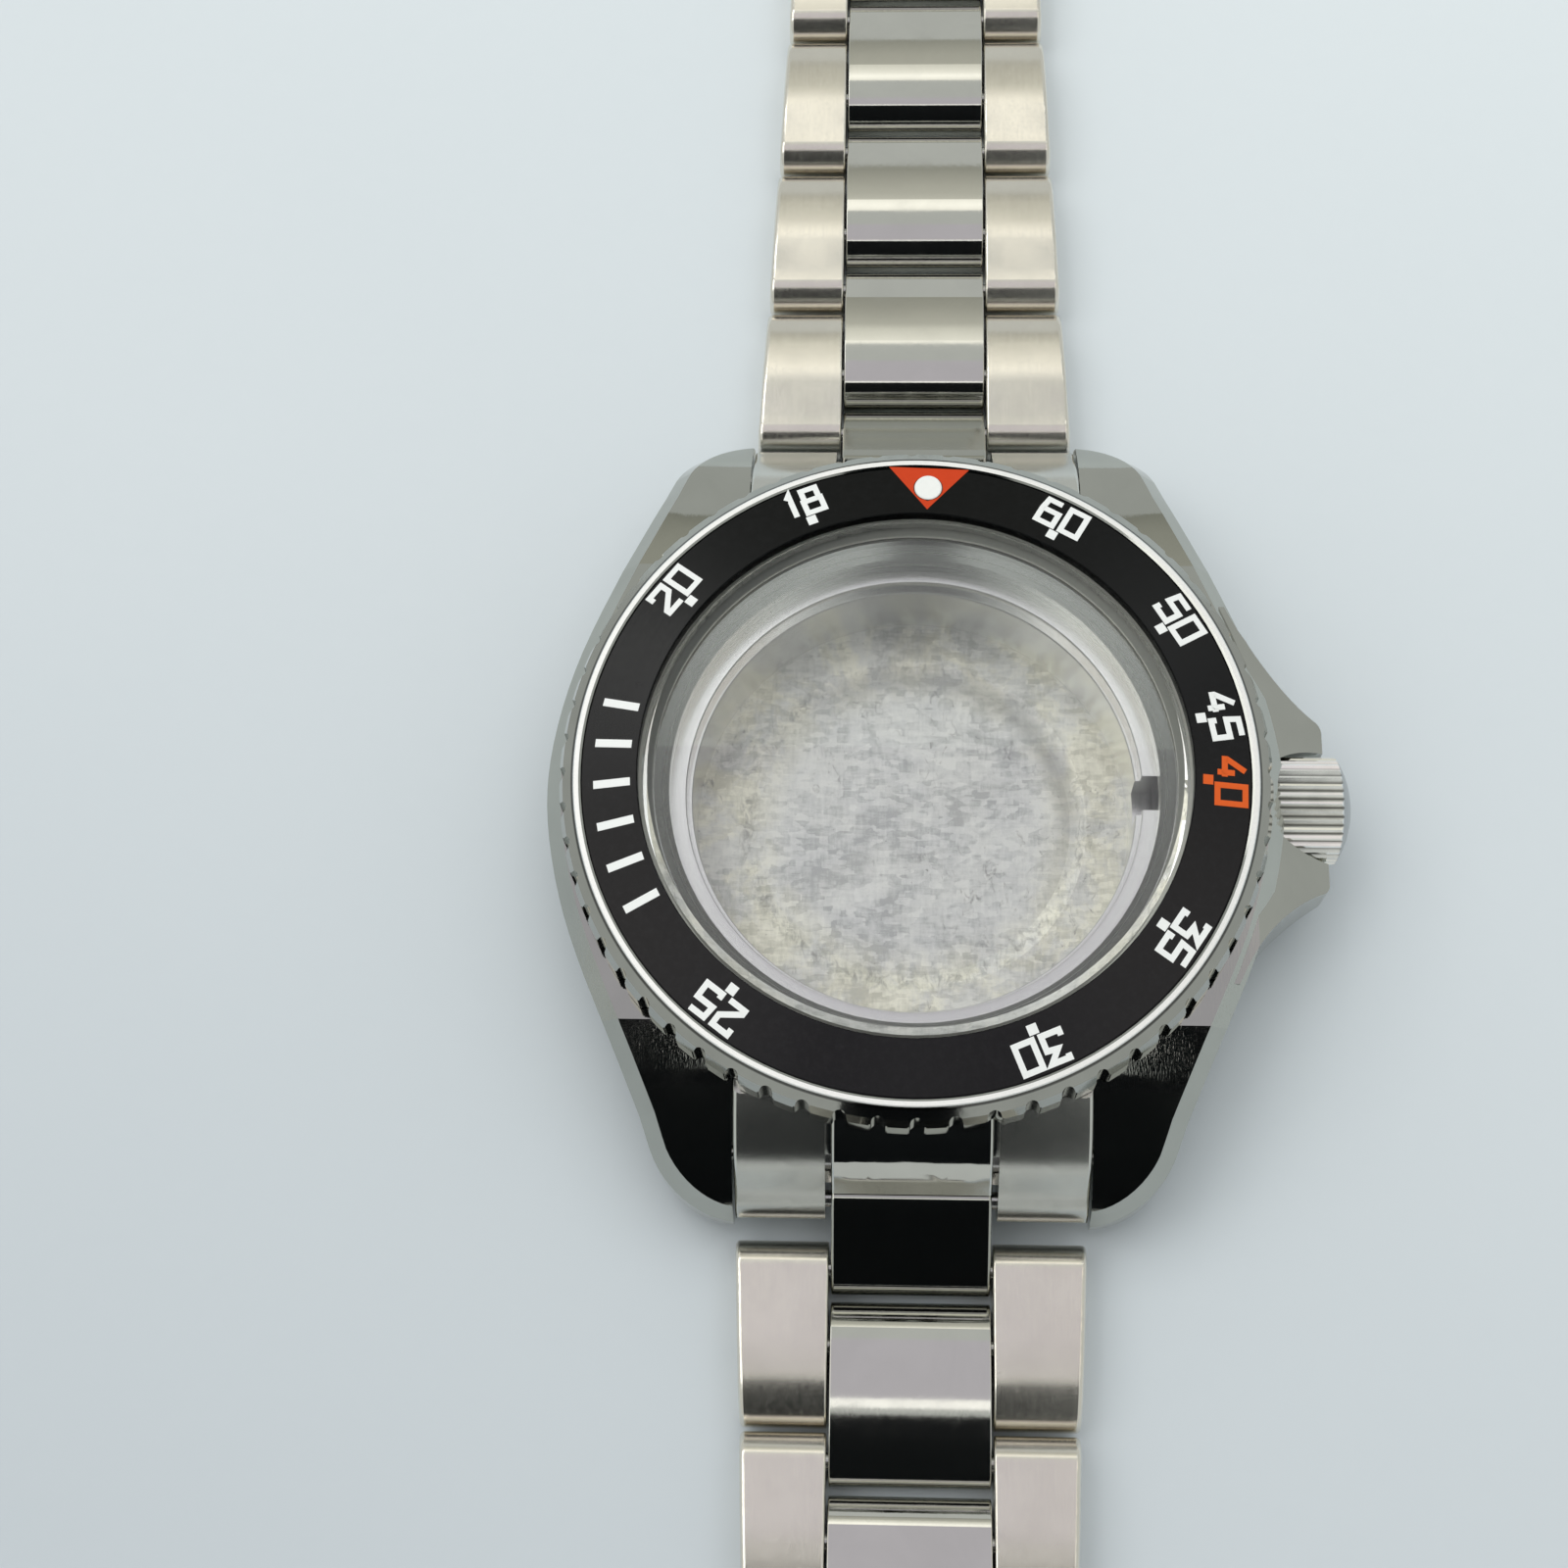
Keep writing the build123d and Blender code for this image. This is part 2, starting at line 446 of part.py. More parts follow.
cover = Pos(0, COVER_U0, 0) * extrude(Plane.XZ * arch, -(COVER_U1 - COVER_U0))
cover = cover - (Pos(0, COVER_U0, 0.2) * Rot(30, 0, 0) * Box(30, 3.0, 3.0))
cover = cover - rod_x(PIN_R, -12, 12, P1_U, P1_Z)
for u in (31.5, 34.0, 36.5):
    cover = cover - rod_x(0.45, -12, 12, u, 2.6)
cover = cover + (Pos(0, LOCK_U, 5.3) * Box(3.6, 1.7, 0.8)) + rod_x(0.7, -1.8, 1.8, LOCK_U, LOCK_Z)
cover = cover - rod_x(0.22, -12, 12, LOCK_U, LOCK_Z)
save("clasp_cover", put(cover))
save("clasp_cover_pin", put(rod_x(PIN_R, -8.4, 8.4, P1_U, P1_Z)))
save("clasp_lock_pin", put(rod_x(0.22, -4.0, 4.0, LOCK_U, LOCK_Z)))
save("clasp_spring_bar", put(rod_x(0.75, -7.4, 7.4, 34.0, 2.6) + rod_x(0.4, -8.5, 8.5, 34.0, 2.6)))

# flip lock: folds over the near end of the cover
flap = make_face([
    Line((9.0, 5.72), (1.95, 5.68)),
    Line((1.95, 5.68), (1.72, 5.45)),
    Line((1.72, 5.45), (1.72, 3.75)),
    Line((1.72, 3.75), (1.2, 3.75)),
    Line((1.2, 3.75), (1.2, 5.6)),
    ThreePointArc((1.2, 5.6), (1.45, 6.12), (2.0, 6.3)),
    Line((2.0, 6.3), (9.0, 6.45)),
    Line((9.0, 6.45), (9.0, 5.72)),
])
lock = along_x(flap, -4.6, 4.6)
lock = lock - block(-2.0, 2.0, 7.9, 12, 4, 8) + rod_x(0.44, 2.0, 4.6, LOCK_U, LOCK_Z) + rod_x(0.44, -4.6, -2.0, LOCK_U, LOCK_Z)
lock = lock - rod_x(0.26, -12, 12, LOCK_U, LOCK_Z)
save("clasp_flip_lock", put(lock))
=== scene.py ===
import json
import math

import bmesh
import bpy
from mathutils import Matrix, Vector


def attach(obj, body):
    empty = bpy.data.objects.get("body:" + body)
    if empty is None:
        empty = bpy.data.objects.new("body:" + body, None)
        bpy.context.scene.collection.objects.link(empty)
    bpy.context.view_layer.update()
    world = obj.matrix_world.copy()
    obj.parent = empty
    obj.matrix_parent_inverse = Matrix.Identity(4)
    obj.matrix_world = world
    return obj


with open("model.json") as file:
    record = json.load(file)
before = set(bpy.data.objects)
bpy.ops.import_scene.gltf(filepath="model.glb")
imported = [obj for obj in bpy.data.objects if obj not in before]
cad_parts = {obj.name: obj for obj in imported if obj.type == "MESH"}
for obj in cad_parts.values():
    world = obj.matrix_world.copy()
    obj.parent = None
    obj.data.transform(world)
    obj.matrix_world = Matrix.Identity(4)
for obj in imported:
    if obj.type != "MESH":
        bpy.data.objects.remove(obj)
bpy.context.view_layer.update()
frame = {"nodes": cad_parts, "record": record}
nodes = frame["nodes"]
MM = 0.001


# ---------------------------------------------------------------- materials
class Net:
    """A small helper that wires a node material. Lengths in its texture space are millimetres."""

    def __init__(self, name):
        self.mat = bpy.data.materials.new(name)
        self.mat.use_nodes = True
        self.t = self.mat.node_tree
        self.t.nodes.clear()
        self.out = self.t.nodes.new("ShaderNodeOutputMaterial")
        self.coord = self.t.nodes.new("ShaderNodeTexCoord")

    def node(self, kind, **sets):
        n = self.t.nodes.new(kind)
        for k, v in sets.items():
            setattr(n, k, v)
        return n

    def link(self, a, b):
        self.t.links.new(a, b)

    def space(self, scale=(1, 1, 1), rot=(0, 0, 0)):
        """Object space in millimetres, stretched by scale."""
        m = self.node("ShaderNodeMapping")
        m.inputs["Scale"].default_value = [1000 * s for s in scale]
        m.inputs["Rotation"].default_value = rot
        self.link(self.coord.outputs["Object"], m.inputs["Vector"])
        return m.outputs["Vector"]

    def noise(self, vec, scale, detail=2.0, rough=0.5, dist=0.0):
        n = self.node("ShaderNodeTexNoise")
        n.inputs["Scale"].default_value = scale
        n.inputs["Detail"].default_value = detail
        n.inputs["Roughness"].default_value = rough
        n.inputs["Distortion"].default_value = dist
        self.link(vec, n.inputs["Vector"])
        return n.outputs["Fac"]

    def ramp(self, fac, stops):
        r = self.node("ShaderNodeValToRGB")
        while len(r.color_ramp.elements) < len(stops):
            r.color_ramp.elements.new(0.5)
        for e, (p, c) in zip(r.color_ramp.elements, stops):
            e.position = p
            e.color = (*c, 1) if len(c) == 3 else c
        self.link(fac, r.inputs["Fac"])
        return r.outputs["Color"]

    def spread(self, fac, lo, hi, a=0.0, b=1.0):
        r = self.node("ShaderNodeMapRange")
        r.inputs["From Min"].default_value = a
        r.inputs["From Max"].default_value = b
        r.inputs["To Min"].default_value = lo
        r.inputs["To Max"].default_value = hi
        self.link(fac, r.inputs["Value"])
        return r.outputs["Result"]

    def math(self, op, a, b):
        n = self.node("ShaderNodeMath", operation=op)
        for i, v in enumerate((a, b)):
            if isinstance(v, (int, float)):
                n.inputs[i].default_value = v
            else:
                self.link(v, n.inputs[i])
        return n.outputs[0]

    def bump(self, height, strength, distance_mm, normal=None):
        n = self.node("ShaderNodeBump")
        n.inputs["Strength"].default_value = strength
        n.inputs["Distance"].default_value = distance_mm * MM
        self.link(height, n.inputs["Height"])
        if normal is not None:
            self.link(normal, n.inputs["Normal"])
        return n.outputs["Normal"]

    def principled(self, **values):
        p = self.node("ShaderNodeBsdfPrincipled")
        for k, v in values.items():
            s = p.inputs[k.replace("_", " ")]
            if hasattr(v, "is_linked") or isinstance(v, bpy.types.NodeSocket):
                self.link(v, s)
            else:
                s.default_value = v
        self.link(p.outputs[0], self.out.inputs["Surface"])
        return p


def polished(name, colour, rough=0.045, smudge=0.05, scratch=0.012):
    """Mirror finish with faint smudges and hairline marks."""
    n = Net(name)
    v = n.space()
    cloud = n.noise(v, 0.28, 4, 0.55, 0.4)
    fine = n.noise(v, 3.1, 3, 0.6)
    hair = n.noise(n.space((14, 0.9, 14), (0.2, 0.1, 0.5)), 1.0, 2, 0.5)
    r = n.math("ADD", n.spread(cloud, rough, rough + smudge, 0.45, 0.8), n.spread(fine, 0, 0.02, 0.4, 0.8))
    c = n.ramp(cloud, [(0.3, colour), (0.75, [k * 0.93 for k in colour])])
    n.principled(Base_Color=c, Metallic=1.0, Roughness=r, Normal=n.bump(hair, 0.12, scratch))
    return n.mat


def brushed(name, colour, rough=0.27, along=(16, 0.3, 16), depth=0.016, strength=0.3, patch=0.06):
    """Satin finish with fine parallel lines, slightly cloudy in tone."""
    n = Net(name)
    v = n.space(along)
    lines = n.noise(v, 1.6, 5, 0.72)
    coarse = n.noise(n.space([a * 0.33 for a in along]), 1.0, 2, 0.5)
    cloud = n.noise(n.space(), 0.35, 3, 0.5)
    specks = n.noise(n.space(), 5.0, 2, 0.5)
    mix = n.math("ADD", n.math("MULTIPLY", lines, 0.72), n.math("MULTIPLY", coarse, 0.28))
    lo = [k * (1 - patch) for k in colour]
    tone = n.math("ADD", n.math("MULTIPLY", mix, 0.35), n.math("MULTIPLY", cloud, 0.65))
    c = n.ramp(tone, [(0.36, lo), (0.60, colour)])
    r = n.math("ADD", n.spread(mix, rough - 0.04, rough + 0.06, 0.3, 0.7), n.spread(specks, 0.0, 0.05, 0.55, 0.8))
    n.principled(Base_Color=c, Metallic=1.0, Roughness=r, Normal=n.bump(mix, strength, depth))
    return n.mat


def crown_steel(name, colour, crest, axis_z, cap_x):
    """Ribbed crown: bright crests, grooves darkened by painted shade, and a satin domed cap."""
    n = Net(name)
    sep = n.node("ShaderNodeSeparateXYZ")
    n.link(n.space(), sep.inputs[0])
    dz = n.math("SUBTRACT", sep.outputs[2], axis_z)
    off = n.math("SQRT", n.math("ADD", n.math("MULTIPLY", sep.outputs[1], sep.outputs[1]), n.math("MULTIPLY", dz, dz)), 0.0)
    cloud = n.noise(n.space(), 0.6, 4, 0.55, 0.3)
    hair = n.noise(n.space((0.9, 14, 14)), 1.0, 3, 0.6)
    cap = n.spread(sep.outputs[0], 0.0, 1.0, cap_x, cap_x + 0.12)
    # painted shade: the crown colour turns dark between the crests
    crest_gap_painted_shade = n.math("MULTIPLY", n.spread(off, 0.70, 0.0, crest - 0.22, crest - 0.10), n.math("SUBTRACT", 1.0, cap))
    tone = n.node("ShaderNodeMix", data_type="RGBA")
    n.link(crest_gap_painted_shade, tone.inputs[0])
    n.link(n.ramp(cloud, [(0.3, colour), (0.75, [k * 0.93 for k in colour])]), tone.inputs[6])
    n.link(n.ramp(hair, [(0.3, (0.07, 0.068, 0.06)), (0.7, (0.12, 0.115, 0.10))]), tone.inputs[7])
    both = n.node("ShaderNodeMix", data_type="RGBA")
    n.link(cap, both.inputs[0])
    n.link(tone.outputs[2], both.inputs[6])
    n.link(n.ramp(cloud, [(0.3, (0.44, 0.455, 0.46)), (0.75, (0.40, 0.415, 0.42))]), both.inputs[7])
    rough = n.math("ADD", n.spread(cloud, 0.10, 0.15, 0.45, 0.8), n.math("MULTIPLY", cap, 0.18))
    n.principled(Base_Color=both.outputs[2], Metallic=1.0, Roughness=rough, Normal=n.bump(hair, 0.1, 0.006))
    return n.mat


def end_link_steel(name, colour, rough=0.18):
    """Satin pads each side of a mirror-finished middle."""
    n = Net(name)
    along = (16, 0.3, 16)
    lines = n.noise(n.space(along), 1.6, 5, 0.72)
    cloud = n.noise(n.space(), 0.35, 3, 0.5)
    sep = n.node("ShaderNodeSeparateXYZ")
    n.link(n.space(), sep.inputs[0])
    pad = n.spread(n.math("ABSOLUTE", sep.outputs[0], 0.0), 0.0, 1.0, 4.60, 4.75)
    satin = n.spread(lines, rough - 0.04, rough + 0.06, 0.3, 0.7)
    mirror = n.spread(cloud, 0.03, 0.08, 0.4, 0.8)
    r = n.math("ADD", n.math("MULTIPLY", pad, satin), n.math("MULTIPLY", n.math("SUBTRACT", 1.0, pad), mirror))
    c = n.ramp(cloud, [(0.34, [k * 0.93 for k in colour]), (0.62, colour)])
    h = n.math("MULTIPLY", lines, pad)
    n.principled(Base_Color=c, Metallic=1.0, Roughness=r, Normal=n.bump(h, 0.2, 0.012))
    return n.mat


def radius(n):
    """Distance from the Z axis in millimetres, and the height."""
    sep = n.node("ShaderNodeSeparateXYZ")
    n.link(n.space(), sep.inputs[0])
    x, y = sep.outputs[0], sep.outputs[1]
    return n.math("SQRT", n.math("ADD", n.math("MULTIPLY", x, x), n.math("MULTIPLY", y, y)), 0.0), sep.outputs[2]


def bezel_steel(name, colour):
    """Polished bezel; the narrow rim round the insert is near-white and rougher, and a thin ring just outside it is
    darkened by painted shade.
    """
    n = Net(name)
    r, z = radius(n)
    cloud = n.noise(n.space(), 0.4, 4, 0.55, 0.4)
    fine = n.noise(n.space(), 7.0, 3, 0.6)
    inner = n.spread(r, 0.0, 1.0, 19.10, 19.13)
    outer = n.spread(r, 1.0, 0.0, 19.41, 19.45)
    top = n.spread(z, 0.0, 1.0, 12.08, 12.14)
    rim = n.math("MULTIPLY", n.math("MULTIPLY", inner, outer), top)
    # painted shade: a dark ring of colour just outside the rim, standing for the shadowed gap there
    outer_ring_painted_shade = n.math("MULTIPLY", n.spread(r, 0.0, 1.0, 19.43, 19.46), n.spread(r, 1.0, 0.0, 19.54, 19.60))
    shade = n.node("ShaderNodeMix", data_type="RGBA")
    n.link(outer_ring_painted_shade, shade.inputs[0])
    n.link(n.ramp(cloud, [(0.3, colour), (0.75, [k * 0.88 for k in colour])]), shade.inputs[6])
    n.link(n.ramp(fine, [(0.3, (0.09, 0.09, 0.085)), (0.7, (0.13, 0.13, 0.125))]), shade.inputs[7])
    mix = n.node("ShaderNodeMix", data_type="RGBA")
    n.link(rim, mix.inputs[0])
    n.link(shade.outputs[2], mix.inputs[6])
    n.link(n.ramp(fine, [(0.3, (0.93, 0.94, 0.93)), (0.7, (0.99, 0.99, 0.98))]), mix.inputs[7])
    plain = n.math("ADD", n.spread(cloud, 0.06, 0.12, 0.45, 0.8), n.spread(fine, 0, 0.02, 0.4, 0.8))
    rough = n.math("ADD", plain, n.math("MULTIPLY", rim, 0.45))
    n.principled(Base_Color=mix.outputs[2], Metallic=1.0, Roughness=rough, Normal=n.bump(fine, 0.1, 0.006))
    return n.mat


def turned_steel(name, colour, rough=0.3, rings=6.0, depth=0.006, low=0.88):
    """Lathe-turned finish: faint rings about the Z axis and fine streaks up the walls."""
    n = Net(name)
    r, z = radius(n)
    comb = n.node("ShaderNodeCombineXYZ")
    n.link(r, comb.inputs[0])
    n.link(z, comb.inputs[1])
    lines = n.noise(comb.outputs[0], rings, 1, 0.5)
    streak = n.noise(n.space((2.6, 2.6, 0.5)), 1.6, 3, 0.6)
    cloud = n.noise(n.space(), 0.5, 4, 0.6, 0.3)
    tone = n.math("ADD", n.math("MULTIPLY", cloud, 0.5), n.math("MULTIPLY", streak, 0.5))
    c = n.ramp(tone, [(0.36, [k * low for k in colour]), (0.62, colour)])
    rr = n.spread(lines, rough - 0.03, rough + 0.04, 0.3, 0.7)
    n.principled(Base_Color=c, Metallic=1.0, Roughness=rr, Normal=n.bump(lines, 0.2, depth))
    return n.mat


def back_steel(name):
    """Case back seen from inside and out: cloudy rubbed steel, pale warm patches near the rim, small dark specks, and a
    soft painted shadow near r 9.4 mm on the upper right.
    """
    n = Net(name)
    v = n.space()
    r, z = radius(n)
    weave_x = n.noise(n.space((0.9, 4.5, 1)), 1.0, 5, 0.7)
    weave_y = n.noise(n.space((4.5, 0.9, 1)), 1.0, 5, 0.7)
    weave = n.math("ADD", n.math("MULTIPLY", weave_x, 0.5), n.math("MULTIPLY", weave_y, 0.5))
    blot = n.noise(v, 0.24, 6, 0.62, 0.6)
    warmth = n.noise(n.space((1, 1, 1), (0.3, 0.2, 0.9)), 0.30, 5, 0.65, 0.4)
    crack = n.noise(n.space((1.5, 0.8, 1), (0, 0, 0.3)), 1.1, 9, 0.72, 1.2)
    specks = n.noise(n.space((1, 1, 1), (0.5, 0.1, 0.2)), 2.7, 3, 0.5)
    rim = n.spread(r, 0.0, 1.0, 7.6, 10.2)
    place = n.node("ShaderNodeSeparateXYZ")
    n.link(v, place.inputs[0])
    # mask for the painted shadow, rising towards the upper right
    shadow_side_mask = n.spread(n.math("ADD", n.math("MULTIPLY", place.outputs[0], 0.55), n.math("MULTIPLY", place.outputs[1], 0.85)),
                           0.0, 1.0, -1.0, 8.0)
    flake = n.node("ShaderNodeTexVoronoi", distance="CHEBYCHEV")
    flake.inputs["Scale"].default_value = 1.5
    n.link(n.space((1, 1.8, 1), (0, 0, 0.04)), flake.inputs["Vector"])
    cell = n.node("ShaderNodeSeparateColor")
    n.link(flake.outputs["Color"], cell.inputs[0])
    tone = n.math("ADD", n.math("ADD", n.math("MULTIPLY", blot, 0.42), n.math("MULTIPLY", weave, 0.46)),
                  n.math("MULTIPLY", cell.outputs[0], 0.12))
    base = n.ramp(tone, [(0.41, (0.345, 0.350, 0.352)), (0.50, (0.495, 0.500, 0.500)), (0.60, (0.600, 0.602, 0.592))])
    warm = n.node("ShaderNodeMix", data_type="RGBA")
    amount = n.math("MULTIPLY", n.spread(warmth, 0.25, 1.0, 0.42, 0.56), n.spread(rim, 0.10, 1.0))
    n.link(amount, warm.inputs[0])
    n.link(base, warm.inputs[6])
    n.link(n.ramp(tone, [(0.42, (0.47, 0.46, 0.385)), (0.58, (0.72, 0.705, 0.61))]), warm.inputs[7])
    # dark colour mixed in for cracks, specks, a darker ring near r 10 mm and the painted shadow
    darkening_and_painted_shadow = n.node("ShaderNodeMix", data_type="RGBA")
    patches = n.spread(n.noise(v, 0.16, 3, 0.5), 0.0, 1.0, 0.50, 0.60)
    worn = n.math("MULTIPLY", n.spread(crack, 0.0, 1.0, 0.565, 0.66), patches)
    ringed = n.math("MULTIPLY", n.spread(n.math("ABSOLUTE", n.math("SUBTRACT", r, 10.0), 0.0), 1.0, 0.0, 0.15, 0.9),
                    n.spread(crack, 0.0, 0.55, 0.48, 0.62))
    dots = n.spread(specks, 0.0, 0.75, 0.735, 0.78)
    # painted shadow: a soft dark band near r 9.4 mm, strongest on the upper right
    painted_shadow_band = n.math("MULTIPLY", n.math("MULTIPLY", n.spread(n.math("ABSOLUTE", n.math("SUBTRACT", r, 9.4), 0.0), 0.55, 0.0, 0.25, 1.1),
                                    shadow_side_mask), n.spread(blot, 0.55, 1.0, 0.4, 0.6))
    dark = n.math("MAXIMUM", n.math("MAXIMUM", n.math("MULTIPLY", worn, 0.7), n.math("MAXIMUM", ringed, painted_shadow_band)), dots)
    n.link(dark, darkening_and_painted_shadow.inputs[0])
    n.link(warm.outputs[2], darkening_and_painted_shadow.inputs[6])
    n.link(n.ramp(blot, [(0.3, (0.15, 0.15, 0.15)), (0.7, (0.23, 0.225, 0.21))]), darkening_and_painted_shadow.inputs[7])
    rough = n.math("ADD", n.spread(tone, 0.38, 0.50, 0.35, 0.65), n.math("MULTIPLY", dark, 0.15))
    n.principled(Base_Color=darkening_and_painted_shadow.outputs[2], Metallic=1.0, Roughness=rough,
                 Normal=n.bump(weave, 0.22, 0.02, n.bump(blot, 0.25, 0.06)))
    return n.mat


def satin_black(name):
    """Anodised black with a soft sheen, finely turned, with a little dust; a painted sheen makes it lighter and more
    purple towards 6 o'clock than towards 12.
    """
    n = Net(name)
    r, z = radius(n)
    comb = n.node("ShaderNodeCombineXYZ")
    n.link(r, comb.inputs[0])
    rings = n.noise(comb.outputs[0], 9.0, 3, 0.6)
    dust = n.noise(n.space(), 2.2, 6, 0.75)
    darker_top_tone = n.ramp(dust, [(0.45, (0.0012, 0.0016, 0.0018)), (0.75, (0.0034, 0.0038, 0.0042))])
    painted_sheen_tone = n.ramp(dust, [(0.45, (0.0105, 0.0098, 0.0114)), (0.75, (0.0150, 0.0142, 0.0160))])
    sep = n.node("ShaderNodeSeparateXYZ")
    n.link(n.space(), sep.inputs[0])
    # painted sheen: the colour blends from near black at 12 o'clock (+Y) to a lighter purplish black at 6 o'clock (-Y)
    mixed = n.node("ShaderNodeMix", data_type="RGBA")
    n.link(n.spread(sep.outputs["Y"], 1.0, 0.0, -9.0, 10.0), mixed.inputs[0])
    n.link(darker_top_tone, mixed.inputs[6])
    n.link(painted_sheen_tone, mixed.inputs[7])
    c = mixed.outputs[2]
    rough = n.math("ADD", n.spread(rings, 0.20, 0.25, 0.3, 0.7), n.spread(dust, 0.0, 0.05, 0.4, 0.75))
    n.principled(Base_Color=c, Metallic=0.0, Roughness=rough, Specular_IOR_Level=0.20,
                 Normal=n.bump(rings, 0.08, 0.004))
    return n.mat


def paint(name, colour, rough=0.5, vary=0.06, gloss=0.5):
    n = Net(name)
    d = n.noise(n.space(), 4.0, 4, 0.6)
    c = n.ramp(d, [(0.3, [k * (1 - vary) for k in colour]), (0.7, colour)])
    n.principled(Base_Color=c, Roughness=n.spread(d, rough - 0.06, rough + 0.06, 0.3, 0.7), Specular_IOR_Level=gloss,
                 Normal=n.bump(d, 0.15, 0.01))
    return n.mat


def crystal(name):
    n = Net(name)
    g = n.node("ShaderNodeBsdfPrincipled")
    g.inputs["Base Color"].default_value = (0.985, 0.99, 0.99, 1)
    g.inputs["Transmission Weight"].default_value = 1.0
    g.inputs["IOR"].default_value = 1.5
    haze = n.noise(n.space(), 0.2, 4, 0.6, 0.5)
    n.link(n.spread(haze, 0.0, 0.012, 0.5, 0.8), g.inputs["Roughness"])
    clear = n.node("ShaderNodeBsdfTransparent")
    clear.inputs["Color"].default_value = (0.93, 0.95, 0.95, 1)
    path = n.node("ShaderNodeLightPath")
    mix = n.node("ShaderNodeMixShader")
    n.link(path.outputs["Is Shadow Ray"], mix.inputs[0])
    n.link(g.outputs[0], mix.inputs[1])
    n.link(clear.outputs[0], mix.inputs[2])
    n.link(mix.outputs[0], n.out.inputs["Surface"])
    return n.mat


mats = {
    "polished_steel": polished("polished_case_steel", (0.465, 0.470, 0.432), 0.035, 0.04),
    "bezel_steel": bezel_steel("bezel_rim_steel", (0.43, 0.435, 0.405)),
    "crown_steel": crown_steel("crown_ribbed_steel", (0.98, 0.97, 0.93), 3.15, 5.3, 24.72),
    "polished_centre_links": polished("centre_link_mirror_steel", (0.66, 0.655, 0.61), 0.055, 0.06, 0.016),
    "brushed_steel_links": brushed("side_link_satin_steel", (0.80, 0.765, 0.69), 0.19),
    "brushed_steel_clasp": brushed("clasp_satin_steel", (0.74, 0.72, 0.67), 0.28),
    "blade_steel": polished("blade_sheet_steel", (0.62, 0.62, 0.60), 0.14, 0.08),
    "case_back_steel": back_steel("case_back_mottled_steel"),
    "inner_steel": turned_steel("movement_ring_turned_steel", (0.66, 0.66, 0.645), 0.22, 3.0, 0.0006, 0.97),
    "rehaut_steel": turned_steel("rehaut_turned_steel", (0.58, 0.595, 0.57), 0.24, 3.0, 0.0004, 0.97),
    "pin_steel": polished("drawn_pin_steel", (0.56, 0.56, 0.55), 0.2, 0.1),
    "crystal_glass": crystal("flat_crystal_glass"),
    "white_gasket": paint("crystal_gasket_ivory", (0.62, 0.62, 0.57), 0.45),
    "black_rubber": paint("gasket_rubber", (0.02, 0.02, 0.02), 0.6, 0.2),
    "insert_black": satin_black("insert_satin_black"),
    "pip_white": paint("luminous_pip_white", (0.94, 0.95, 0.92), 0.35, 0.03),
}
own = {"end_link_12": end_link_steel("end_link_satin_and_mirror_steel", (0.64, 0.645, 0.61))}
own["end_link_6"] = own["end_link_12"]
for sub in frame["record"]["subparts"]:
    o = nodes[sub["node"]]
    m = own.get(sub["node"]) or mats[sub["material_slot"]]
    if o.data.materials:
        for i in range(len(o.data.materials)):
            o.data.materials[i] = m
    else:
        o.data.materials.append(m)

# ---------------------------------------------------------------- print on the insert
INSERT_R, INSERT_R_IN, INSERT_Z, RISE = 18.97, 15.72, 12.2, 0.5


def on_insert(angle, u, v, r0, lift):
    """A point u to the right and v outwards of radius r0, at an angle clockwise from 12, on the sloping face."""
    a = math.radians(angle)
    y, x = r0 + v, u
    r = math.hypot(x, y)
    z = INSERT_Z + RISE * (INSERT_R - r) / (INSERT_R - INSERT_R_IN) + lift
    return Vector((x * math.cos(a) + y * math.sin(a), -x * math.sin(a) + y * math.cos(a), z)) * MM


GLYPH = {
    "0": [[(0, 0), (0, 1), (1, 1), (1, 0), (0, 0)]],
    "1": [[(0.12, 0.83), (0.62, 1), (0.62, 0)]],
    "2": [[(0, 0.76), (0, 1), (1, 1), (1, 0.62), (0, 0.14), (0, 0), (1, 0)]],
    "3": [[(0, 0.84), (0, 1), (1, 1), (0.42, 0.58), (1, 0.54), (1, 0), (0, 0), (0, 0.2)]],
    "4": [[(0.62, 1), (0, 0.34), (0, 0.26), (1, 0.26)], [(0.76, 0.62), (0.76, 0)]],
    "5": [[(1, 1), (0.06, 1), (0, 0.56), (1, 0.56), (1, 0), (0, 0), (0, 0.2)]],
    "6": [[(0.92, 1), (0.1, 1), (0, 0.56), (0, 0), (1, 0), (1, 0.56), (0, 0.56)]],
    "8": [[(0, 0), (0, 0.52), (1, 0.52), (1, 0), (0, 0)], [(0.08, 0.52), (0.08, 1), (0.92, 1), (0.92, 0.52)]],
}


def stroke_quads(points, width):
    """Mitred band along an open or closed polyline, as quads of 2-D points."""
    closed = points[0] == points[-1]
    pts = [Vector(p) for p in points]
    if closed:
        pts = pts[:-1]
    n = len(pts)
    h = width / 2
    sides = []
    for i, p in enumerate(pts):
        a = pts[i - 1] if (i > 0 or closed) else None
        b = pts[(i + 1) % n] if (i < n - 1 or closed) else None
        d1 = (p - a).normalized() if a is not None else None
        d2 = (b - p).normalized() if b is not None else None
        if d1 is None or d2 is None:
            d = d1 or d2
            nrm = Vector((-d.y, d.x)) * h
            ext = d * (h * 0.0)
            sides.append((p + nrm + ext, p - nrm + ext))
            continue
        n1, n2 = Vector((-d1.y, d1.x)), Vector((-d2.y, d2.x))
        m = n1 + n2
        m = m / max(m.length_squared, 0.35) * 2
        sides.append((p + m * h, p - m * h))
    quads = []
    for i in range(n if closed else n - 1):
        (a, b), (c, d) = sides[i], sides[(i + 1) % n]
        length = ((a + b) / 2 - (c + d) / 2).length
        cuts = max(1, int(length / 0.35))
        for k in range(cuts):
            s, t = k / cuts, (k + 1) / cuts
            quads.append([a.lerp(c, s), b.lerp(d, s), b.lerp(d, t), a.lerp(c, t)])
    return quads


